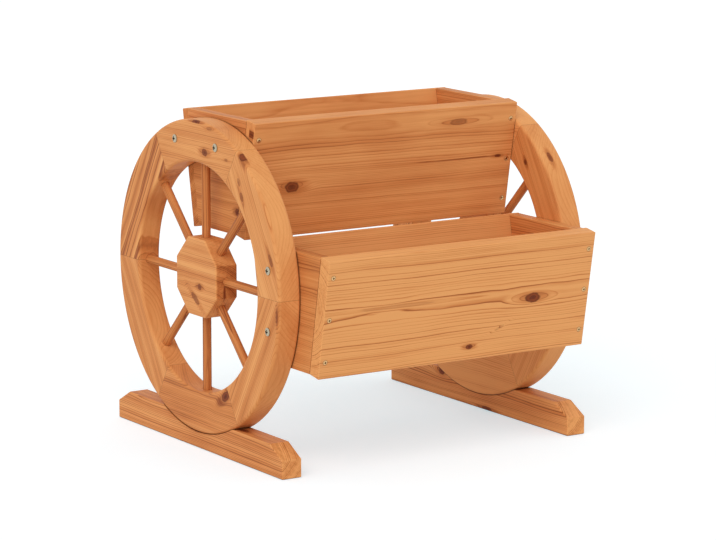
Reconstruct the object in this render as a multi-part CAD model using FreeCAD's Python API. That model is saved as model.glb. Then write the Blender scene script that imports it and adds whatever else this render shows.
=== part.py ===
import FreeCAD, Part

import math
import os

# Flower cart stand in pine. Two spoked wheels stand in the cut-outs of two foot rails and carry
# two planting troughs between them, one high at the back and one low at the front.
# Millimetres. +X runs along the wheels' common axis, -Y is the front, +Z is up. The origin is
# on the floor, in the middle of the whole stand's footprint.

Vector = FreeCAD.Vector
Rotation = FreeCAD.Rotation
Placement = FreeCAD.Placement
X_AXIS = Vector(1, 0, 0)
Y_AXIS = Vector(0, 1, 0)
Z_AXIS = Vector(0, 0, 1)
ORIGIN = Vector(0, 0, 0)
angle_tolerance = 1e-6

# Wheels
wheel_diameter = 502.0
wheel_thickness = 39.0
rim_width = 67.0  # radial width of the ring of felloes
rim_round = 5.0  # rounding of the rim's long edges
felloe_count = 6
hub_across_flats = 125.0
hub_round = 3.0
spoke_count = 8  # the hub has one flat for each spoke
spoke_diameter = 14.0
spoke_in_hub = 20.0
spoke_in_rim = 20.0
felloe_dowel_diameter = 10.0
felloe_dowel_length = 40.0
dowel_fit = 0.1  # clearance round a dowel or spoke in its hole
dowel_end_gap = 0.5  # space left past a dowel's end
dowel_chamfer = 1.0

# Foot rails
rail_length = 517.0
rail_height = 50.0
rail_thickness = 35.0
rail_end_height = 30.0  # height of a rail's upright end, below its sloping top corner
rail_end_slope = 37.0  # how far that sloping corner runs along the rail
rail_round = 2.0
wheel_lift = 25.5  # wood left under the wheel in the rail's cut-out
wheel_seat_fit = 0.1

# Troughs
trough_length = 500.0
trough_bottom_width = 158.0  # outside, across the lower corners
board_width = 190.0  # of a front or rear board, up its slope
board_lean = 10.0  # degrees that the front and rear boards lean outwards
board_round = 1.5
front_board_thickness = 25.0
rear_board_thickness = 18.0
end_board_thickness = 20.0
end_board_height = 185.0
floor_thickness = 15.0
floor_fit = 0.3
drain_diameter = 12.0
drain_count = 3
upper_trough_drop = 183.5  # from the wheel's top down to the upper trough's lower edge
upper_trough_setback = -5.5  # middle of the upper trough behind the wheels' axis
lower_trough_drop = 367.5  # from the wheel's top down to the lower trough's lower edge
lower_trough_inset = 30.5  # middle of the lower trough inside the wheel's front edge

# Screws: the wheel screws go through the rims into the trough ends, the rail screws come up
# through the rails into the rims, and the board screws join the trough boards.
wheel_screw_head = 13.0
wheel_screw_shank = 6.0
wheel_screw_bite = 16.0  # length of a wheel screw in the end board
wheel_screw_inset = 27.5  # from the wheel's edge in to the screws
upper_screw_angle = 16.3  # degrees either side of the top
lower_screw_angle = 12.3  # degrees either side of the lower screws' middle
lower_screw_tilt = 1.0  # degrees that this middle lies below the front
rail_screw_head = 12.0
rail_screw_shank = 6.0
rail_screw_length = 60.0
rail_screw_spacing = 100.0
rail_screw_recess = 8.0
board_screw_head = 7.0
board_screw_shank = 3.5
board_screw_bite = 20.0  # length of a board screw in the second board
board_screw_margin = 27.0  # from a board's edges to its outer end screws
board_screw_rows = 3
floor_screw_count = 3
pan_rise = 0.25  # height of a pan head, as a share of its width
pan_rim = 0.1  # height of its upright rim, likewise
flush_rise = 0.08  # dome of a countersunk head, likewise
recess_depth_share = 0.25  # cross recess in a head, likewise
recess_width_share = 0.17
recess_length_share = 0.55
screw_fit = 0.1
screw_tip_gap = 0.5
bore_overshoot = 1.0  # how far a bore's cutter stands out of the wood

wheel_radius = wheel_diameter / 2
rim_inner_radius = wheel_radius - rim_width
axle_z = wheel_lift + wheel_radius
lean = math.radians(board_lean)
lean_run = board_width * math.sin(lean)  # how far a board's top leans out past its foot
trough_half = trough_bottom_width / 2
lower_trough_middle = lower_trough_inset - wheel_radius  # from the wheels' axis
stand_front = min(lower_trough_middle - trough_half - lean_run, -rail_length / 2)
stand_rear = max(upper_trough_setback + trough_half + lean_run, rail_length / 2)
axle_y = -(stand_front + stand_rear) / 2
wheel_middle_x = (trough_length + wheel_thickness) / 2
wheel_outer_x = trough_length / 2 + wheel_thickness

SIDES = {"left": -1, "right": 1}
parts = {}


def radial(angle):
    """Unit vector across the wheel axis; 0 degrees is up and 90 degrees is to the front."""
    turn = math.radians(angle)
    return Vector(0, -math.sin(turn), math.cos(turn))


def placed(shape, position, direction):
    """The shape with its own +Z turned to the direction and its origin at the position."""
    copy = shape.copy()
    copy.Placement = Placement(position, Rotation(Z_AXIS, direction))
    return copy


def prism(points, vector):
    """Solid swept along the vector from a closed outline."""
    outline = Part.makePolygon(points + points[:1])
    return Part.Face(outline).extrude(vector)


def rounded(solid, radius, keep=lambda edge: True):
    """The solid with the chosen edges rounded."""
    return solid.makeFillet(radius, [edge for edge in solid.Edges if keep(edge)])


def dowel(diameter, length):
    """Round rod along +Z from the origin, with chamfered ends."""
    rod = Part.makeCylinder(diameter / 2, length)
    rims = [edge for edge in rod.Edges if isinstance(edge.Curve, Part.Circle)]
    return rod.makeChamfer(dowel_chamfer, rims)


def screw_profile(head_radius, shank_radius, length, tip, pan):
    """Half section of a screw in the XZ plane up to the wood's surface, at z = 0."""
    neck = 0 if pan else shank_radius - head_radius
    return [
        Vector(head_radius, 0, 0),
        Vector(shank_radius, 0, neck),
        Vector(shank_radius, 0, tip - length),
        Vector(0, 0, -length),
    ]


def screw(head, shank, length, pan=False):
    """Screw along -Z with a cross recess in its pan head, or in a low domed countersunk one."""
    rim = head * pan_rim if pan else 0
    dome = head * (pan_rise if pan else flush_rise)
    recess_depth = head * recess_depth_share
    recess_width = head * recess_width_share
    recess_length = head * recess_length_share
    brow = Vector(head / 2, 0, rim)
    shoulder = Vector(head / 4, 0, rim + (dome - rim) * 0.75)
    top = Vector(0, 0, dome)
    outline = screw_profile(head / 2, shank / 2, length, shank, pan) + [top]
    if pan:
        outline = [brow] + outline
    edges = [Part.Arc(top, shoulder, brow).toShape()]
    edges += [Part.makeLine(a, b) for a, b in zip(outline, outline[1:])]
    body = Part.Face(Part.Wire(edges)).revolve(ORIGIN, Z_AXIS, 360)
    for long_x, long_y in ((recess_length, recess_width), (recess_width, recess_length)):
        corner = Vector(-long_x / 2, -long_y / 2, dome - recess_depth)
        body = body.cut(Part.makeBox(long_x, long_y, recess_depth, corner))
    return body


def screw_bore(head, shank, length, counterbore=0.0, pan=False):
    """What a screw takes out of the wood, with a flat counterbore above a countersunk head."""
    shank_radius = shank / 2 + screw_fit
    head_radius = shank_radius if pan else head / 2 + screw_fit
    side = screw_profile(head_radius, shank_radius, length + screw_tip_gap, shank, pan)
    if pan:
        side = side[1:]
    mouth = counterbore + bore_overshoot
    top = [Vector(0, 0, mouth), Vector(head_radius, 0, mouth)]
    outline = Part.makePolygon(top + side + top[:1])
    return Part.Face(outline).revolve(ORIGIN, Z_AXIS, 360)


def screw_group(places, head, shank, length, counterbore=0.0, pan=False):
    """Screws at the (position, outward direction) places, and the bores that they need."""
    model = screw(head, shank, length, pan)
    bore = screw_bore(head, shank, length, counterbore, pan)
    screws = [placed(model, *place) for place in places]
    bores = [placed(bore, *place) for place in places]
    return screws, bores


def felloe(index):
    """One segment of the rim, its long edges rounded, centred on the wheel's origin."""
    half = wheel_thickness / 2
    inner = rim_inner_radius
    outer = wheel_radius
    step = rim_round
    bend = rim_round * (1 - math.sqrt(0.5))
    corners = [(-half, inner, 1, 1), (-half, outer, 1, -1), (half, outer, -1, -1), (half, inner, -1, 1)]
    edges = []
    last = Vector(half - step, 0, inner)
    for count, (x, z, to_x, to_z) in enumerate(corners):
        along_x = Vector(x + to_x * step, 0, z)
        along_z = Vector(x, 0, z + to_z * step)
        middle = Vector(x + to_x * bend, 0, z + to_z * bend)
        start, end = (along_x, along_z) if count % 2 == 0 else (along_z, along_x)
        edges.append(Part.makeLine(last, start))
        edges.append(Part.Arc(start, middle, end).toShape())
        last = end
    span = 360 / felloe_count
    face = Part.Face(Part.Wire(edges))
    face.rotate(ORIGIN, X_AXIS, (index - 0.5) * span)
    return face.revolve(ORIGIN, X_AXIS, span)


def hub():
    """Block with one flat facing each spoke."""
    corner_radius = hub_across_flats / 2 / math.cos(math.pi / spoke_count)
    corner_angles = [(k + 0.5) * 360 / spoke_count for k in range(spoke_count)]
    start = Vector(-wheel_thickness / 2, 0, 0)
    outline = [start + radial(angle) * corner_radius for angle in corner_angles]
    return rounded(prism(outline, Vector(wheel_thickness, 0, 0)), hub_round)


def spokes():
    """The spokes and the holes that they need, centred on the wheel's origin."""
    start = hub_across_flats / 2 - spoke_in_hub
    end = rim_inner_radius + spoke_in_rim
    rod = dowel(spoke_diameter, end - start)
    hole_length = end - start + 2 * dowel_end_gap
    hole = Part.makeCylinder(spoke_diameter / 2 + dowel_fit, hole_length)
    directions = [radial(k * 360 / spoke_count) for k in range(spoke_count)]
    rods = [placed(rod, way * start, way) for way in directions]
    holes = [placed(hole, way * (start - dowel_end_gap), way) for way in directions]
    return rods, holes


def felloe_dowels():
    """The dowels across the rim's joints and their holes, clear of the spokes' ends."""
    clear_from = rim_inner_radius + spoke_in_rim
    circle = (clear_from + wheel_radius) / 2
    rod = dowel(felloe_dowel_diameter, felloe_dowel_length)
    hole_length = felloe_dowel_length + 2 * dowel_end_gap
    hole = Part.makeCylinder(felloe_dowel_diameter / 2 + dowel_fit, hole_length)
    rods = []
    holes = []
    for k in range(felloe_count):
        angle = (k + 0.5) * 360 / felloe_count
        across = radial(angle + 90)
        middle = radial(angle) * circle
        rods.append(placed(rod, middle - across * (felloe_dowel_length / 2), across))
        holes.append(placed(hole, middle - across * (hole_length / 2), across))
    return rods, holes


def rail():
    """Foot rail along Y with sloping upper corners, its outer face at x = 0, uncut."""
    half = rail_length / 2
    shoulder = half - rail_end_slope
    outline = [
        Vector(0, -half, 0),
        Vector(0, half, 0),
        Vector(0, half, rail_end_height),
        Vector(0, shoulder, rail_height),
        Vector(0, -shoulder, rail_height),
        Vector(0, -half, rail_end_height),
    ]
    return rounded(prism(outline, Vector(rail_thickness, 0, 0)), rail_round)


def build_wheel(side_name, side):
    """One wheel with its foot rail. Returns the wheel screws' bores for the trough ends."""
    centre = Vector(side * wheel_middle_x, axle_y, axle_z)
    outward = X_AXIS * side

    def at_wheel(shapes):
        return [shape.translated(centre) for shape in shapes]

    spoke_rods, spoke_holes = map(at_wheel, spokes())
    joint_rods, joint_holes = map(at_wheel, felloe_dowels())

    screw_circle = wheel_radius - wheel_screw_inset
    middle = 90 + lower_screw_tilt
    angles = [-upper_screw_angle, upper_screw_angle, middle - lower_screw_angle, middle + lower_screw_angle]
    face = Vector(side * wheel_outer_x, axle_y, axle_z)
    places = [(face + radial(angle) * screw_circle, outward) for angle in angles]
    length = wheel_thickness + wheel_screw_bite
    wheel_screws, wheel_bores = screw_group(
        places, wheel_screw_head, wheel_screw_shank, length, pan=True
    )

    rail_middle_x = side * (wheel_outer_x - rail_thickness / 2)
    places = []
    for way in (-1, 1):
        position = Vector(rail_middle_x, axle_y + way * rail_screw_spacing / 2, rail_screw_recess)
        places.append((position, -Z_AXIS))
    rail_screws, rail_bores = screw_group(
        places, rail_screw_head, rail_screw_shank, rail_screw_length, rail_screw_recess
    )

    holes = spoke_holes + joint_holes + wheel_bores + rail_bores
    for k in range(felloe_count):
        segment = felloe(k).translated(centre)
        parts[f"{side_name}_felloe_{k + 1}"] = segment.cut(holes)
    for k, rod in enumerate(spoke_rods):
        parts[f"{side_name}_spoke_{k + 1}"] = rod
    parts[f"{side_name}_hub"] = hub().translated(centre).cut(spoke_holes)
    parts[f"{side_name}_felloe_dowels"] = Part.makeCompound(joint_rods)
    parts[f"{side_name}_wheel_screws"] = Part.makeCompound(wheel_screws)
    parts[f"{side_name}_rail_screws"] = Part.makeCompound(rail_screws)

    inner_face_x = min(side * wheel_outer_x, side * (wheel_outer_x - rail_thickness))
    blank = rail().translated(Vector(inner_face_x, axle_y, 0))
    seat_start = Vector(side * wheel_middle_x - wheel_thickness, axle_y, axle_z)
    seat = Part.makeCylinder(wheel_radius + wheel_seat_fit, 2 * wheel_thickness, seat_start, X_AXIS)
    parts[f"{side_name}_rail"] = blank.cut([seat] + rail_bores)
    return wheel_bores


def leaning_board(way, thickness):
    """Front (way -1) or rear (way 1) board of a trough whose lower edge is at z = 0."""
    up = Vector(0, way * math.sin(lean), math.cos(lean))
    inward = Vector(0, -way * math.cos(lean), math.sin(lean))
    foot = Vector(-trough_length / 2, way * trough_half, 0)
    top = foot + up * board_width
    outline = [foot, top, top + inward * thickness, foot + inward * thickness]
    return rounded(prism(outline, Vector(trough_length, 0, 0)), board_round)


def inner_y(way, thickness, height):
    """Where a leaning board's inner face stands at a height above the trough's lower edge."""
    return way * (trough_half - thickness / math.cos(lean) + height * math.tan(lean))


def between_boards(low, high, start_x, length):
    """Solid that fills the trough's section from one height to another."""
    outline = []
    for way, thickness, height in (
        (-1, front_board_thickness, low),
        (1, rear_board_thickness, low),
        (1, rear_board_thickness, high),
        (-1, front_board_thickness, high),
    ):
        outline.append(Vector(start_x, inner_y(way, thickness, height), height))
    return prism(outline, Vector(length, 0, 0))


def is_level_edge(edge):
    """True for an edge along Y, as an end board's upper and lower edges are."""
    return edge.tangentAt(edge.FirstParameter).isParallel(Y_AXIS, angle_tolerance)


def board_screw_places(way, middle_y, bottom_z):
    """Places of the screws that go through a leaning board into the two end boards."""
    up = Vector(0, way * math.sin(lean), math.cos(lean))
    outward = Vector(0, way * math.cos(lean), -math.sin(lean))
    foot = Vector(0, middle_y + way * trough_half, bottom_z)
    step = (board_width - 2 * board_screw_margin) / (board_screw_rows - 1)
    x = (trough_length - end_board_thickness) / 2
    places = []
    for side in (-1, 1):
        for row in range(board_screw_rows):
            position = foot + X_AXIS * (side * x) + up * (board_screw_margin + row * step)
            places.append((position, outward))
    return places


def floor_screw_places(middle_y, bottom_z, floor_bottom):
    """Places of the screws that go through the rear board into the floor's edge."""
    outward = Vector(0, math.cos(lean), -math.sin(lean))
    height = floor_bottom + floor_thickness / 2
    aim = Vector(0, middle_y + inner_y(1, rear_board_thickness, height), bottom_z + height)
    step = trough_length / (floor_screw_count + 1)
    places = []
    for k in range(floor_screw_count):
        x = (k + 1) * step - trough_length / 2
        places.append((aim + X_AXIS * x + outward * rear_board_thickness, outward))
    return places


def build_trough(name, middle_y, bottom_z, wheel_bores):
    """One trough: front and rear boards over two end boards and a drained floor."""
    offset = Vector(0, middle_y, bottom_z)
    base = front_board_thickness * math.sin(lean)
    front = leaning_board(-1, front_board_thickness).translated(offset)
    rear = leaning_board(1, rear_board_thickness).translated(offset)

    front_screws, front_bores = screw_group(
        board_screw_places(-1, middle_y, bottom_z),
        board_screw_head,
        board_screw_shank,
        front_board_thickness + board_screw_bite,
    )
    rear_places = board_screw_places(1, middle_y, bottom_z)
    rear_places += floor_screw_places(middle_y, bottom_z, base)
    rear_screws, rear_bores = screw_group(
        rear_places, board_screw_head, board_screw_shank, rear_board_thickness + board_screw_bite
    )

    parts[f"{name}_front_board"] = front.cut(front_bores)
    parts[f"{name}_rear_board"] = rear.cut(rear_bores)
    for side_name, side in SIDES.items():
        outer_x = side * trough_length / 2
        start_x = min(outer_x, outer_x - side * end_board_thickness)
        end = between_boards(base, base + end_board_height, start_x, end_board_thickness)

        end = rounded(end, board_round, is_level_edge).translated(offset)
        parts[f"{name}_{side_name}_end"] = end.cut(front_bores + rear_bores + wheel_bores)

    floor_length = trough_length - 2 * end_board_thickness - 2 * floor_fit
    floor = between_boards(base, base + floor_thickness, -floor_length / 2, floor_length)
    floor_middle = (inner_y(-1, front_board_thickness, base) + inner_y(1, rear_board_thickness, base)) / 2
    drains = []
    for k in range(drain_count):
        x = ((k + 0.5) / drain_count - 0.5) * floor_length
        start = Vector(x, floor_middle, 0)
        drains.append(Part.makeCylinder(drain_diameter / 2, 2 * (base + floor_thickness), start))
    parts[f"{name}_floor"] = floor.cut(drains).translated(offset).cut(rear_bores)
    parts[f"{name}_front_screws"] = Part.makeCompound(front_screws)
    parts[f"{name}_rear_screws"] = Part.makeCompound(rear_screws)


all_wheel_bores = []
for side_name, side in SIDES.items():
    all_wheel_bores += build_wheel(side_name, side)

wheel_top = axle_z + wheel_radius
build_trough("upper", axle_y + upper_trough_setback, wheel_top - upper_trough_drop, all_wheel_bores)
build_trough("lower", axle_y + lower_trough_middle, wheel_top - lower_trough_drop, all_wheel_bores)

os.makedirs("parts", exist_ok=True)
for name, shape in parts.items():
    shape.exportStep(f"parts/{name}.step")
print(len(parts), "sub-parts")
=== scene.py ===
import math
import random

import bpy
from mathutils import Matrix, Quaternion, Vector


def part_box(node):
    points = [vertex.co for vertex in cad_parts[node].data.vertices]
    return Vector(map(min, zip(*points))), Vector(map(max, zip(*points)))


# The looks of the flower cart stand. Each wooden piece is cut from a log of its own, so that its
# faces, edges and end grain show the same growth rings. Metres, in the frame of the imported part:
# the photograph's near wheel is on the -X side, the low trough on the -Y side, and Z is up.

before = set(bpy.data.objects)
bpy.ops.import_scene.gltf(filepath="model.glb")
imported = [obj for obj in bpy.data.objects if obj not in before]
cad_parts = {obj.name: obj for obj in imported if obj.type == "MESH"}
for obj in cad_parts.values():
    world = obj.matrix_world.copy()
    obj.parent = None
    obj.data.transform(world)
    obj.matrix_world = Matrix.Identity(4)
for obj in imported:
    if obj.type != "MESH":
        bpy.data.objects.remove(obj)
bpy.context.view_layer.update()

MM = 0.001
X, Y, Z = Vector((1, 0, 0)), Vector((0, 1, 0)), Vector((0, 0, 1))


def middle(node):
    """Middle of a CAD node's box."""
    low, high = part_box(node)
    return (low + high) / 2


# Sizes in mm that the marks on the wood follow.
RIM_LOW, RIM_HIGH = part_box("left_felloe_1")
RIM_RADIUS = (RIM_HIGH - middle("left_hub")).z / MM
RIM_FACE = (RIM_HIGH - RIM_LOW).x / 2 / MM  # from the middle of the rim to its faces
SCREW_OUT = middle("upper_right_end").x / MM  # the board screws run into the middle of the ends
SCREW_STEP = 68  # between the rows of board screws
BOARD_LEAN = math.radians(10)  # of the front and rear boards


# ---------------------------------------------------------------- colours

def srgb(red, green, blue):
    """Linear colour for a 0 to 255 screen colour."""
    def linear(value):
        value /= 255
        return value / 12.92 if value <= 0.04045 else ((value + 0.055) / 1.055) ** 2.4
    return (linear(red), linear(green), linear(blue), 1)


def grey(level):
    return (level, level, level, 1)


HONEY = srgb(237, 168, 103)  # early wood under the glaze
AMBER = srgb(213, 135, 75)
RUSSET = srgb(148, 76, 36)  # late wood
KNOT_HEART = srgb(98, 42, 20)
KNOT_WOOD = srgb(146, 72, 34)
KNOT_BARK = srgb(82, 36, 20)
# Dark brown of joint lines and the rings round screws, and of painted shade in corners and along the far
# rail's cut-out.
JOINT_AND_SHADE_BROWN = srgb(82, 38, 18)


# ---------------------------------------------------------------- node trees

class Nodes:
    """A node tree, with a short method for each kind of node that the materials use. Every value
    may be a socket or a constant."""

    def __init__(self, tree):
        self.tree = tree

    def add(self, kind, inputs=None, **settings):
        node = self.tree.nodes.new(kind)
        for name, value in settings.items():
            setattr(node, name, value)
        for name, value in (inputs or {}).items():
            self.feed(node.inputs[name], value)
        return node

    def feed(self, socket, value):
        if isinstance(value, bpy.types.NodeSocket):
            self.tree.links.new(value, socket)
        else:
            socket.default_value = value

    def math(self, operation, *values, clamp=False):
        inputs = dict(enumerate(values))
        return self.add("ShaderNodeMath", inputs, operation=operation, use_clamp=clamp).outputs[0]

    def weigh(self, start, *terms):
        """The start, plus each term's value times its share."""
        for value, share in terms:
            start = self.math("MULTIPLY_ADD", value, share, start)
        return start

    def vector(self, operation, *values, output=0):
        inputs = dict(enumerate(values))
        return self.add("ShaderNodeVectorMath", inputs, operation=operation).outputs[output]

    def length(self, vector):
        return self.vector("LENGTH", vector, output="Value")

    def dot(self, first, second):
        return self.vector("DOT_PRODUCT", first, second, output="Value")

    def times(self, vector, factor):
        inputs = {0: vector, "Scale": factor}
        return self.add("ShaderNodeVectorMath", inputs, operation="SCALE").outputs[0]

    def split(self, vector):
        return self.add("ShaderNodeSeparateXYZ", {0: vector}).outputs

    def join(self, *values):
        return self.add("ShaderNodeCombineXYZ", dict(enumerate(values))).outputs[0]

    def blend(self, value, low, high, start=0.0, end=1.0):
        """Smooth step: start below low, end above high."""
        inputs = {"Value": value, "From Min": low, "From Max": high, "To Min": start, "To Max": end}
        return self.add("ShaderNodeMapRange", inputs, interpolation_type="SMOOTHSTEP").outputs[0]

    def spread(self, value, low, high, start=0.0, end=1.0):
        """Straight line from start at low to end at high, and level outside."""
        inputs = {"Value": value, "From Min": low, "From Max": high, "To Min": start, "To Max": end}
        return self.add("ShaderNodeMapRange", inputs).outputs[0]

    def noise(self, vector, scale, detail, output="Fac"):
        inputs = {"Vector": vector, "Scale": scale, "Detail": detail}
        return self.add("ShaderNodeTexNoise", inputs).outputs[output]

    def noise_on(self, value, scale, detail):
        """Noise along a line."""
        inputs = {"W": value, "Scale": scale, "Detail": detail}
        return self.add("ShaderNodeTexNoise", inputs, noise_dimensions="1D").outputs["Fac"]

    def random_of(self, value):
        return self.add("ShaderNodeTexWhiteNoise", {"W": value}, noise_dimensions="1D").outputs["Value"]

    def mix(self, factor, first, second):
        node = self.add("ShaderNodeMix", data_type="RGBA")
        first_socket, second_socket = [s for s in node.inputs if s.type == "RGBA"]
        self.feed(node.inputs[0], factor)
        self.feed(first_socket, first)
        self.feed(second_socket, second)
        return [s for s in node.outputs if s.type == "RGBA"][0]

    def ramp(self, value, stops):
        """Colours at places from 0 to 1, joined by straight lines."""
        node = self.add("ShaderNodeValToRGB", {"Fac": value})
        elements = node.color_ramp.elements
        while len(elements) < len(stops):
            elements.new(0.5)
        for element, (position, colour) in zip(elements, stops):
            element.position = position
            element.color = colour
        return node.outputs["Color"]

    def point_in(self, point, matrix, scale=(1, 1, 1)):
        """The point in the frame that the matrix places, in units of the scale."""
        inputs = {
            "Vector": point,
            "Location": matrix.to_translation(),
            "Rotation": matrix.to_euler(),
            "Scale": scale,
        }
        return self.add("ShaderNodeMapping", inputs, vector_type="TEXTURE").outputs[0]

    def direction_in(self, direction, matrix):
        """The direction in the frame that the matrix places."""
        return self.point_in(direction, matrix.to_3x3().to_4x4())

    def openness(self, distance, samples):
        """How open the surface is within the distance: 0 deep in a corner, 1 on a free face."""
        inputs = {"Distance": distance}
        return self.add("ShaderNodeAmbientOcclusion", inputs, samples=samples).outputs["AO"]

    def finish_with(self, shader, kind="ShaderNodeOutputMaterial"):
        """Makes the shader the surface of the material or the world."""
        self.add(kind, {"Surface": shader.outputs[0]})


def node_group(name, inputs, outputs):
    """An empty node group. Returns its nodes, and its input and output sockets by name."""
    tree = bpy.data.node_groups.new(name, "ShaderNodeTree")
    for in_out, sockets in (("INPUT", inputs), ("OUTPUT", outputs)):
        for socket, kind in sockets.items():
            tree.interface.new_socket(socket, in_out=in_out, socket_type="NodeSocket" + kind)
    nodes = Nodes(tree)
    return nodes, nodes.add("NodeGroupInput").outputs, nodes.add("NodeGroupOutput").inputs


def empty_nodes(owner):
    """Empties the node tree of a material or world, and returns its nodes."""
    owner.use_nodes = True
    owner.node_tree.nodes.clear()
    return Nodes(owner.node_tree)


# ---------------------------------------------------------------- pine

# How dark the wood is through one year, from the first wood of spring to the last of autumn.
YEAR = ((0.0, 0.0), (0.4, 0.06), (0.74, 0.35), (0.9, 1.0), (1.0, 0.0))
FAINTEST_YEAR = 0.32  # late wood of the faintest year, as a share of the darkest
RIPPLE = 0.9  # how far the rings ripple, in ring widths
UNEVEN = 2.4  # how many rings the count gains and loses on its way, so that their widths vary


def build_pine():
    """Pine with growth rings round a pith line that runs along the piece's own X axis.

    Pith is a place on that line, Ring the mean width of a ring, Bow how far the rings wander,
    Bulge how far knots push them out and Contrast the strength of the grain. Tone, Ends and Halo
    darken the glaze all over, on end grain and round knots; on some pieces Tone also holds painted
    shade. Edge lightens the edges, as worn glaze and a painted highlight. Core, Heart and Bark are
    the parts of a knot. Seam draws dark joint lines and the painted shadow along a rail's cut-out,
    and Grime is painted shade in joints and corners.
    """
    numbers = (
        "Seed", "Ring", "Bow", "Bulge", "Contrast", "Tone", "Ends", "Halo", "Edge",
        "Core", "Heart", "Bark", "Seam", "Grime",
    )
    inputs = {"Point": "Vector", "Normal": "Vector", "Pith": "Vector", **dict.fromkeys(numbers, "Float")}
    outputs = {"Color": "Color", "Roughness": "Float", "Height": "Float"}
    n, given, result = node_group("pine", inputs, outputs)
    seed = given["Seed"]
    start = n.vector("MULTIPLY", n.join(seed, seed, seed), (1.71, 2.33, 3.19))

    def drift(along, across, detail=2.0, output="Fac"):
        """Noise with so many swings in a metre along the grain and across it."""
        sizes = (along, across, across)
        return n.noise(n.vector("MULTIPLY_ADD", given["Point"], sizes, start), 1.0, detail, output)

    def swing(noise):
        """Noise round 0 in place of a half."""
        return n.math("SUBTRACT", noise, 0.5)

    # How far a point is from the pith, by way of the bends that the rings follow.
    half = (0.5, 0.5, 0.5)
    slow = n.vector("SUBTRACT", drift(3.2, 9.0, 1.0, "Color"), half)
    quick = n.vector("SUBTRACT", drift(11.0, 42.0, 2.0, "Color"), half)
    wander = n.times(slow, given["Bow"])
    ripple = n.times(quick, n.math("MULTIPLY", given["Ring"], RIPPLE))
    across = n.vector("SUBTRACT", given["Point"], given["Pith"])
    across = n.vector("ADD", across, n.vector("ADD", wander, ripple))
    distance = n.length(n.vector("MULTIPLY", across, (0, 1, 1)))
    distance = n.math("SUBTRACT", distance, given["Bulge"])

    # Rings of uneven width and strength.
    place = n.math("ADD", distance, seed)
    uneven = n.math("MULTIPLY", n.noise_on(place, 60.0, 1.0), UNEVEN)
    count = n.math("ADD", n.math("DIVIDE", distance, given["Ring"]), uneven)
    late = n.ramp(n.math("FRACT", count), [(part, grey(level)) for part, level in YEAR])
    chance = n.random_of(n.math("ADD", n.math("FLOOR", count), seed))
    strength = n.spread(n.math("POWER", chance, 1.5), 0.0, 1.0, FAINTEST_YEAR, 1.0)
    late = n.math("MULTIPLY", late, strength)

    band = swing(n.noise_on(place, 75.0, 1.0))
    streak = swing(drift(4.0, 190.0, 3.0))
    fibre = swing(drift(26.0, 1300.0))
    blotch = swing(drift(7.0, 16.0))
    end_grain = n.blend(n.math("ABSOLUTE", n.split(given["Normal"])[0]), 0.55, 0.9)

    grain = n.weigh(0.0, (late, 0.8), (band, 0.75), (streak, 0.6))
    grain = n.math("MULTIPLY", grain, given["Contrast"])
    dark = n.weigh(grain, (fibre, 0.3), (blotch, 0.5), (end_grain, given["Ends"]))
    dark = n.weigh(dark, (given["Halo"], 0.5), (given["Tone"], 1.0), (given["Edge"], -0.1))
    colour = n.ramp(dark, [(0.0, HONEY), (0.45, AMBER), (1.0, RUSSET)])
    colour = n.mix(given["Core"], colour, n.mix(given["Heart"], KNOT_WOOD, KNOT_HEART))
    colour = n.mix(given["Bark"], colour, KNOT_BARK)
    colour = n.mix(given["Seam"], colour, JOINT_AND_SHADE_BROWN)
    colour = n.mix(given["Grime"], colour, JOINT_AND_SHADE_BROWN)

    rough = n.weigh(0.56, (late, -0.1), (end_grain, 0.12), (fibre, 0.16))
    height = n.weigh(0.0, (fibre, 0.9), (late, 0.5), (given["Bark"], -0.8), (given["Seam"], -2.0))
    for socket, value in (("Color", colour), ("Roughness", rough), ("Height", height)):
        n.feed(result[socket], value)
    return n.tree


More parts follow.
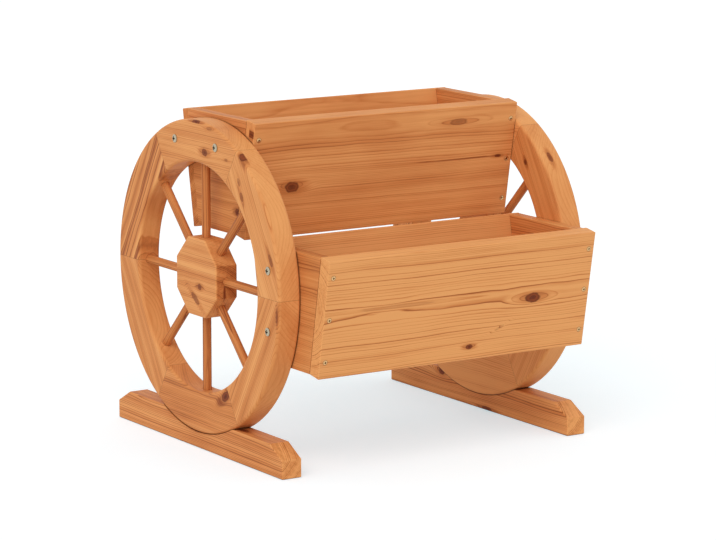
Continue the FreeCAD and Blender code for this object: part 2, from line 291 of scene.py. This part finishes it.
def build_knot():
    """One knot. Point is in the knot's own frame, where it is a disc of radius 1 that fades out
    1 deep, and Wide is half its real width."""
    inputs = {"Point": "Vector", "Wide": "Float", "Seed": "Float", "Strength": "Float"}
    outputs = dict.fromkeys(("Shift", "Bulge", "Core", "Heart", "Bark", "Halo"), "Float")
    n, given, result = node_group("knot", inputs, outputs)

    def reach(along, up):
        """Distance from the knot's middle, where less than 1 draws the shape out that way."""
        return n.length(n.vector("MULTIPLY", given["Point"], (along, up, 0)))

    def within(value, low, high):
        """1 below low and 0 above high."""
        return n.blend(value, low, high, 1.0, 0.0)

    _, side, deep = n.split(given["Point"])
    near = within(n.math("ABSOLUTE", deep), 0.8, 1.1)
    strength = n.math("MULTIPLY", near, given["Strength"])

    # Growth rings part round the knot as water does round a post, in a field drawn out along
    # the grain, and close again a few knot widths away.
    field = reach(0.45, 1)
    square = n.math("MAXIMUM", n.math("MULTIPLY", field, field), 1.0)
    push = n.math("MULTIPLY", within(field, 1.5, 5.0), given["Wide"])
    push = n.math("MULTIPLY", side, n.math("DIVIDE", push, square))
    n.feed(result["Shift"], n.math("MULTIPLY", n.math("MULTIPLY", push, near), -0.6))
    # They also swell outwards along the branch, which a flat face cuts as closed eye-shaped rings.
    swell = n.math("MULTIPLY", within(reach(0.3, 0.75), 0.0, 1.5), near)
    n.feed(result["Bulge"], n.math("MULTIPLY", swell, given["Wide"]))

    flat = n.vector("MULTIPLY", given["Point"], (1, 1, 0))
    wobble = n.noise(n.vector("ADD", flat, given["Seed"]), 1.3, 2.0)
    radius = n.weigh(reach(1, 1), (n.math("SUBTRACT", wobble, 0.5), 0.6))
    n.feed(result["Core"], n.math("MULTIPLY", within(radius, 0.85, 1.08), strength))
    rings = n.math("SINE", n.math("MULTIPLY", radius, 19.0))
    heart = n.blend(radius, 0.1, 0.85, 1.0, 0.1)
    n.feed(result["Heart"], n.math("MULTIPLY_ADD", rings, 0.18, heart, clamp=True))
    bark = n.math("MULTIPLY", n.blend(radius, 0.7, 0.95), within(radius, 0.98, 1.2))
    n.feed(result["Bark"], n.math("MULTIPLY", n.math("MULTIPLY", bark, 0.6), strength))
    n.feed(result["Halo"], n.math("MULTIPLY", within(reach(0.55, 1), 0.7, 2.0), strength))
    return n.tree


PINE = build_pine()
KNOT = build_knot()


def add_knots(n, point, marks, seed):
    """Adds one piece's knots. Returns their parts: the pushes summed, the others at their strongest."""
    parts = dict.fromkeys(("Shift", "Bulge", "Core", "Heart", "Bark", "Halo"), 0.0)
    for index, mark in enumerate(marks):
        inputs = {
            "Point": n.point_in(point, mark["place"], mark["radii"]),
            "Wide": mark["radii"].y,
            "Seed": seed + index,
            "Strength": mark["strength"],
        }
        found = n.add("ShaderNodeGroup", inputs, node_tree=KNOT).outputs
        for part, so_far in parts.items():
            operation = "ADD" if part in ("Shift", "Bulge") else "MAXIMUM"
            parts[part] = n.math(operation, so_far, found[part])
    return parts


def joint_line(degrees):
    """Shade of the joint at a rim segment's end, at an angle from the frame's Y axis."""
    turn = math.radians(degrees)
    across = Vector((math.cos(turn), math.sin(turn), 0))

    def shade(n, point):
        away = n.math("ABSOLUTE", n.dot(point, across))
        return n.blend(away, 0.15 * MM, 0.6 * MM, 0.4, 0.0)
    return shade


def screw_rings(n, point):
    """Shade of the fine dark rings round a board's screws."""
    along, up, _ = n.split(point)
    beside = n.math("SUBTRACT", n.math("ABSOLUTE", along), SCREW_OUT * MM)
    row = n.math("WRAP", up, SCREW_STEP / 2 * MM, -SCREW_STEP / 2 * MM)
    gap = n.length(n.join(beside, row, 0.0))
    outside_head = n.blend(gap, 3.0 * MM, 3.4 * MM)
    fading = n.blend(gap, 3.9 * MM, 4.9 * MM, 0.5, 0.0)
    return n.math("MULTIPLY", outside_head, fading)


def cut_out_shadow(axis_height):
    """Painted shadow along a rail's cut-out, under the rim that stands out over it. The wheel's
    axis is that high over the rail's middle.
    """
    def shade(n, point):
        along, up, _ = n.split(point)
        gap = n.length(n.join(along, n.math("SUBTRACT", up, axis_height), 0.0))
        return n.blend(gap, (RIM_RADIUS + 0.8) * MM, (RIM_RADIUS + 2.0) * MM, 0.75, 0.0)
    return shade


def pine(name, place, log, marks, shades, edges):
    """Material of one wooden piece. place is the matrix of its own frame, with X along the grain.

    log holds the pith's Y and Z, the mean ring width and the bow, all in mm, and
      contrast: the strength of the grain, and calm, its share on faces that don't look along Z
      tone: how dark the piece is all over, from its glaze and on some pieces from painted shade,
          and ends, how much darker it is on end grain
      seed: picks the noise.
    marks are its knots, shades functions that draw dark lines and a painted shadow line, and edges
    says if its edges are lighter, as worn glaze and a painted highlight.
    """
    material = bpy.data.materials.new(name)
    n = empty_nodes(material)
    point = n.point_in(n.add("ShaderNodeTexCoord").outputs["Object"], place)
    normal = n.direction_in(n.add("ShaderNodeNewGeometry").outputs["Normal"], place)
    knots = add_knots(n, point, marks, log["seed"])
    shift = knots.pop("Shift")

    # The squares of the normal's parts: one of them is 1 on a face, and they share it on an edge.
    squares = n.vector("MULTIPLY", normal, normal)
    contrast = n.spread(n.split(squares)[2], 0.2, 0.8, log["contrast"] * log["calm"], log["contrast"])
    # Lighter edges where the normal turns round an arris: worn glaze and a painted highlight.
    edge = n.blend(n.dot(squares, squares), 0.62, 0.97, 1.0, 0.0) if edges else 0.0

    joint_lines_and_shadow = 0.0
    for shade in shades:
        joint_lines_and_shadow = n.math("MAXIMUM", joint_lines_and_shadow, shade(n, point))
    # Painted shade: darker in joints and corners, where less of the surroundings is open within 4 mm.
    painted_corner_shade = n.blend(n.openness(4 * MM, samples=6), 0.36, 0.62, 0.55, 0.0)
    inputs = {
        "Point": n.vector("ADD", point, n.join(0.0, shift, 0.0)),
        "Normal": normal,
        "Pith": Vector((0, *log["pith"])) * MM,
        "Seed": log["seed"],
        "Ring": log["ring"] * MM,
        "Bow": log["bow"] * MM,
        "Contrast": contrast,
        "Tone": log["tone"],
        "Ends": log["ends"],
        "Edge": edge,
        "Seam": joint_lines_and_shadow,
        "Grime": painted_corner_shade,
        **knots,
    }
    wood = n.add("ShaderNodeGroup", inputs, node_tree=PINE).outputs
    bump = n.add("ShaderNodeBump", {"Strength": 0.35, "Distance": 0.3 * MM, "Height": wood["Height"]})
    glazed = {
        "Base Color": wood["Color"],
        "Roughness": wood["Roughness"],
        "Normal": bump.outputs["Normal"],
        "Specular IOR Level": 0.15,
    }
    n.finish_with(n.add("ShaderNodeBsdfPrincipled", glazed))
    return material


# ---------------------------------------------------------------- the wooden pieces

def frame_at(origin, grain, up):
    """Matrix of a piece's own frame: X along the grain, Y up or outwards, Z across both."""
    columns = Matrix((grain, up, grain.cross(up))).transposed()
    return Matrix.Translation(origin) @ columns.to_4x4()


def radial(angle):
    """Unit vector across the wheels' axis; 0 degrees is up and 90 degrees is to the front."""
    turn = math.radians(angle)
    return Vector((0, -math.sin(turn), math.cos(turn)))


def knot(x, y, length, width, strength=1.0, z=0.0, depth=200.0, turn=0, runs="Z"):
    """A knot or streak at a place in the piece's own frame, in mm, that runs along one of its axes.
    Length is along the grain if the turn is 0, and depth is how far it reaches both ways."""
    degrees, axis = {"Z": (turn, "Z"), "Y": (90, "X"), "X": (90, "Y")}[runs]
    turned = Matrix.Rotation(math.radians(degrees), 4, axis)
    return {
        "place": Matrix.Translation(Vector((x, y, z)) * MM) @ turned,
        "radii": Vector((length / 2, width / 2, depth)) * MM,
        "strength": strength,
    }


# Knots and streaks that the photograph shows, by piece.
MARKS = {
    "lower_front_board": [
        knot(140, -3, 26, 15), knot(27, -73, 12, 8), knot(82, -47, 16, 4, 0.2, turn=25),
        knot(-120, 10, 125, 7, 0.18),
    ],
    "upper_front_board": [
        knot(-171.5, -14, 24, 17, 0.9), knot(137, 70, 32, 10, 0.5), knot(222, 6, 12, 5, 0.9),
        knot(165, 6, 120, 2, 0.5), knot(-250, 76, 8, 10, 0.9, z=5, depth=7),
    ],
    "upper_left_end": [knot(-61, -55, 11, 11)],
    "left_felloe_1": [
        knot(29.6, 203, 15, 11, 0.9), knot(95, 199, 9, 4, 0.5), knot(44, 242, 15, 5, 0.4),
        knot(2, RIM_RADIUS, 20, 5, z=18.5, depth=5, runs="Y"),
    ],
    "left_felloe_2": [
        knot(-114, 227, 18, 12, z=RIM_FACE, depth=9), knot(-80, 200, 12, 8, 0.4),
        knot(-57, 196, 14, 8, 0.6), knot(61, 226, 20, 8, 0.6),
    ],
    "left_felloe_3": [knot(-101, 223, 20, 5, 0.5, turn=30)],
    "left_felloe_4": [knot(-89, 177, 24, 14, turn=35, z=RIM_FACE, depth=25)],
    "left_hub": [
        knot(-11, -14, 10, 9, 0.8), knot(2, -35, 26, 9, 0.6, turn=35),
        knot(-62.5, -18, 2, 20, 0.8, z=-4, depth=8, runs="X"),
    ],
    "left_rail": [knot(0, 3, 24, 7, 0.3), knot(-124, 25, 17, 10, z=-4, depth=14, runs="Y")],
    "right_felloe_2": [
        knot(-56, RIM_RADIUS, 18, 8, 0.8, z=2, depth=12, runs="Y"),
        knot(-67, 201, 9, 7, 0.9, z=RIM_FACE, depth=9),
    ],
    "right_rail": [knot(101, 20, 16, 14), knot(-32, -23, 26, 8, z=-17.5, depth=12)],
}

# What the photograph shows of the logs. The rest is drawn by lot.
COARSE_LOG = {"pith": (-140, 25), "ring": 11.0, "contrast": 2.0}  # the last rim segment
RAIL_LOG = {"pith": (40, -60), "ring": 2.1, "contrast": 1.3, "ends": -0.1}
# The upper front board's and the left end boards' tones hold painted shade, where shade falls on the
# upper front board and beside the near rim.
BOARD_LOGS = {
    "lower_front_board": {"pith": (4, -38), "ring": 2.6, "tone": -0.09, "contrast": 1.35},
    "upper_front_board": {"pith": (75, -45), "ring": 2.6, "tone": 0.16, "contrast": 0.75},
    "upper_rear_board": {"tone": 0.1, "ends": 0.3},
    "upper_left_end": {"tone": 0.36, "contrast": 0.75, "pith": (-130, 30), "ring": 2.6},
    "lower_left_end": {"tone": 0.36, "contrast": 0.85},
}
# Tones of the rim segments, from the top one on towards the front, and of the rail, by side. The
# second right segment's tone holds painted shade, beside the upper trough.
FELLOE_TONES = {
    "left": (0.17, 0.16, 0.2, 0.34, 0.25, 0.3),
    "right": (0.05, 0.25, 0.0, -0.08, 0.05, 0.05),
}
RAIL_TONES = {"left": 0.24, "right": 0.16}

dice = random.Random(7)


def dress(node, material):
    """Gives a CAD node its material."""
    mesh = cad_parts[node].data
    mesh.materials.clear()
    mesh.materials.append(material)


def piece(node, place, chosen=None, shades=(), edges=True):
    """Dresses one wooden node in pine of its own, with values of its log chosen or drawn by lot."""
    log = {
        "pith": (dice.uniform(-90, 90), dice.choice((-1, 1)) * dice.uniform(30, 70)),
        "ring": dice.uniform(2.5, 3.4),
        "bow": dice.uniform(8, 14),
        "contrast": dice.uniform(0.85, 1.05),
        "tone": dice.uniform(-0.04, 0.06),
        "seed": dice.uniform(0, 40),
        "calm": 1.0,
        "ends": 0.06,
    }
    log.update(chosen or {})
    dress(node, pine("pine_" + node, place, log, MARKS.get(node, ()), shades, edges))


def dress_rim(side, centre):
    felloes = 6
    step = 360 / felloes
    shades = [joint_line(-step / 2), joint_line(step / 2)]
    for k in range(felloes):
        pith_radius = dice.choice((120, 290)) + dice.uniform(-15, 15)  # inside or outside the rim
        pith_depth = dice.choice((-1, 1)) * dice.uniform(30, 60)
        chosen = {"pith": (pith_radius, pith_depth), "contrast": 0.9, "calm": 0.45}
        if k == felloes - 1:
            chosen.update(COARSE_LOG)
        chosen["tone"] = FELLOE_TONES[side][k]
        place = frame_at(centre, radial(step * k + 90), radial(step * k))
        piece(f"{side}_felloe_{k + 1}", place, chosen, shades, edges=False)


def dress_wheel(side):
    centre = middle(side + "_hub")
    dress_rim(side, centre)
    spokes = 8
    for k in range(spokes):
        place = frame_at(centre, radial(360 / spokes * k), X)
        piece(f"{side}_spoke_{k + 1}", place, {"tone": 0.5}, edges=False)
    piece(side + "_hub", frame_at(centre, Y, Z), {"tone": 0.18, "ring": 2.4, "ends": 0.3})
    rail_middle = middle(side + "_rail")
    # Only the far rail is seen from inside, where the rim stands out over its cut-out and a painted
    # shadow line runs along it.
    shades = [cut_out_shadow((centre - rail_middle).z)] if side == "right" else []
    chosen = {"tone": RAIL_TONES[side], **RAIL_LOG}
    piece(side + "_rail", frame_at(rail_middle, Y, Z), chosen, shades)
    piece(side + "_felloe_dowels", frame_at(centre, Y, Z))


def dress_trough(name):
    for board, way in (("front", -1), ("rear", 1)):
        node = f"{name}_{board}_board"
        up = Vector((0, way * math.sin(BOARD_LEAN), math.cos(BOARD_LEAN)))
        chosen = {"bow": 10, **BOARD_LOGS.get(node, {})}
        piece(node, frame_at(middle(node), X, up), chosen, [screw_rings])
    for side in ("left", "right"):
        node = f"{name}_{side}_end"
        piece(node, frame_at(middle(node), Y, Z), BOARD_LOGS.get(node, {"tone": 0.32}))
    floor = name + "_floor"
    piece(floor, frame_at(middle(floor), X, Y))


for wheel_side in ("left", "right"):
    dress_wheel(wheel_side)
for trough in ("upper", "lower"):
    dress_trough(trough)


# ---------------------------------------------------------------- screws

def zinc(name, light, dull, recess_shade):
    """Plated steel, with painted shade in the cross recess and round the head."""
    material = bpy.data.materials.new(name)
    n = empty_nodes(material)
    spangle = n.noise(n.add("ShaderNodeTexCoord").outputs["Object"], 900.0, 2.0)
    # Painted shade in the cross recess and round the head, where little of the surroundings is open.
    unshaded = n.blend(n.openness(2 * MM, samples=8), 0.3, 0.75)
    inputs = {
        "Base Color": n.mix(unshaded, recess_shade, n.mix(spangle, light, dull)),
        "Roughness": n.spread(spangle, 0.3, 0.7, 0.26, 0.44),
        "Metallic": 1.0,
    }
    n.finish_with(n.add("ShaderNodeBsdfPrincipled", inputs))
    return material


WHEEL_ZINC = zinc("zinc_screw", srgb(216, 208, 186), srgb(150, 140, 114), srgb(36, 28, 20))
BOARD_ZINC = zinc("yellow_zinc_screw", srgb(238, 198, 144), srgb(208, 164, 112), srgb(120, 84, 50))
for node_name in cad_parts:
    if node_name.endswith("_screws"):
        dress(node_name, WHEEL_ZINC if "wheel" in node_name else BOARD_ZINC)


# ---------------------------------------------------------------- floor, light and camera

FLOOR_REACH = 20.0
FLOOR_GAP = 0.2 * MM  # below the rails, so that the faces don't lie in one plane
FLOOR_COLOUR = grey(0.8)
# What the camera sees of the floor: light thrown back and a glow, which add up to white where
# nothing stands in the light.
FLOOR_SEEN = (0.80, 0.644, 0.603, 1)
FLOOR_GLOW = (0.315, 0.502, 0.556, 1)


def seen_directly(n):
    """1 for rays that show the background: from the camera, off gloss or through glass."""
    path = n.add("ShaderNodeLightPath").outputs
    seen = n.math("MAXIMUM", path["Is Camera Ray"], path["Is Glossy Ray"])
    return n.math("MAXIMUM", seen, path["Is Transmission Ray"])


def floor_material():
    material = bpy.data.materials.new("floor")
    n = empty_nodes(material)
    seen = seen_directly(n)
    diffuse = n.add("ShaderNodeBsdfDiffuse", {"Color": n.mix(seen, FLOOR_COLOUR, FLOOR_SEEN)})
    glow = n.add("ShaderNodeEmission", {"Color": FLOOR_GLOW, "Strength": seen})
    n.finish_with(n.add("ShaderNodeAddShader", {0: diffuse.outputs[0], 1: glow.outputs[0]}))
    return material


def build_floor():
    """A pale floor that keeps the shadow and runs into the white background."""
    mesh = bpy.data.meshes.new("floor")
    square = ((-1, -1), (1, -1), (1, 1), (-1, 1))
    corners = [(x * FLOOR_REACH, y * FLOOR_REACH, -FLOOR_GAP) for x, y in square]
    mesh.from_pydata(corners, [], [(0, 1, 2, 3)])
    mesh.materials.append(floor_material())
    floor = bpy.data.objects.new("floor", mesh)
    bpy.context.scene.collection.objects.link(floor)


def build_surroundings():
    """Plain white all round, and dimmer overhead for the stand but not for the camera."""
    level, overhead = 0.98, 0.58
    world = bpy.data.worlds.new("studio")
    bpy.context.scene.world = world
    n = empty_nodes(world)
    height = n.math("ABSOLUTE", n.split(n.add("ShaderNodeTexCoord").outputs["Generated"])[2])
    dim = n.spread(height, 0.0, 1.0, level, overhead)
    strength = n.math("MAXIMUM", dim, seen_directly(n))
    background = n.add("ShaderNodeBackground", {"Color": grey(1), "Strength": strength})
    n.finish_with(background, "ShaderNodeOutputWorld")


def build_lamp():
    """One large soft lamp, from the left, the front and above."""
    lamp = bpy.data.lights.new("key", "SUN")
    lamp.angle = math.radians(40)
    lamp.energy = 0.9
    key = bpy.data.objects.new("key", lamp)
    key.rotation_euler = Vector((-0.65, -0.6, 0.8)).to_track_quat("Z", "Y").to_euler()
    bpy.context.scene.collection.objects.link(key)


def build_camera():
    """The photograph's camera, worked out from the stand's own edges in the picture."""
    yaw, pitch, roll = (math.radians(angle) for angle in (33.02, 10.34, 0.07))
    image_width, focal_length = 716, 3258.9  # in pixels of the photograph
    data = bpy.data.cameras.new("camera")
    data.sensor_width = 36
    data.lens = focal_length * data.sensor_width / image_width
    camera = bpy.data.objects.new("camera", data)
    camera.location = (-2.8384, -4.3563, 1.214)
    level = math.cos(pitch)
    forward = Vector((level * math.sin(yaw), level * math.cos(yaw), -math.sin(pitch)))
    aim = forward.to_track_quat("-Z", "Y") @ Quaternion(Z, roll)
    camera.rotation_euler = aim.to_euler()
    bpy.context.scene.collection.objects.link(camera)
    bpy.context.scene.camera = camera


build_floor()
build_surroundings()
build_lamp()
build_camera()
bpy.context.scene.view_settings.view_transform = "Standard"
